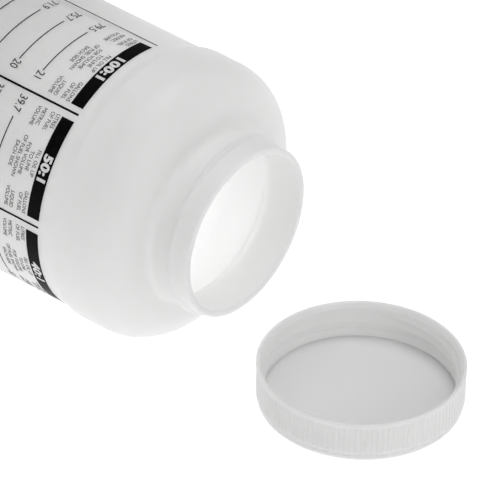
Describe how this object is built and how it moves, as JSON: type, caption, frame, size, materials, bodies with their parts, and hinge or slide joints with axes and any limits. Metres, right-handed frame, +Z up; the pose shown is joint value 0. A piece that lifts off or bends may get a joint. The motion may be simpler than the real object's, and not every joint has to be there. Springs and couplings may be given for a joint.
{
  "type": "wide-mouth graduated plastic bottle",
  "caption": "Wide-mouth translucent plastic measuring bottle lying on its side, with its ribbed screw cap and sealing liner off, open side up before the mouth.",
  "frame": {"origin": "centre of the footprint of the bottle and its cap, on the surface they lie on", "axes": "+X along the bottle from its base towards its mouth and the cap, +Z up"},
  "size_m": [0.3008, 0.08, 0.08],
  "materials": {
    "bottle_plastic": "natural translucent blow-moulded polyethylene, satin",
    "cap_plastic": "natural translucent moulded polypropylene, satin",
    "liner_foam": "white foamed polyethylene with a smooth skin",
    "scale_ink": "black screen-printed ink"
  },
  "bodies": {
    "bottle": {"bottle": "bottle_plastic"},
    "liner": {"liner": "liner_foam"},
    "cap": {"cap": "cap_plastic"}
  },
  "joints": [
    {"name": "cap_flip", "type": "hinge", "parent": "bottle", "child": "liner", "pos_m": [0.09047, 0.00319, 0.00833], "axis": [0.0892, -0.992, -0.0892], "range_deg": [0, 90.46]},
    {"name": "cap_turn", "type": "hinge", "parent": "liner", "child": "cap", "pos_m": [0.1222, 0.0057, 0], "axis": [0, 0, 1], "continuous": true}
  ]
}
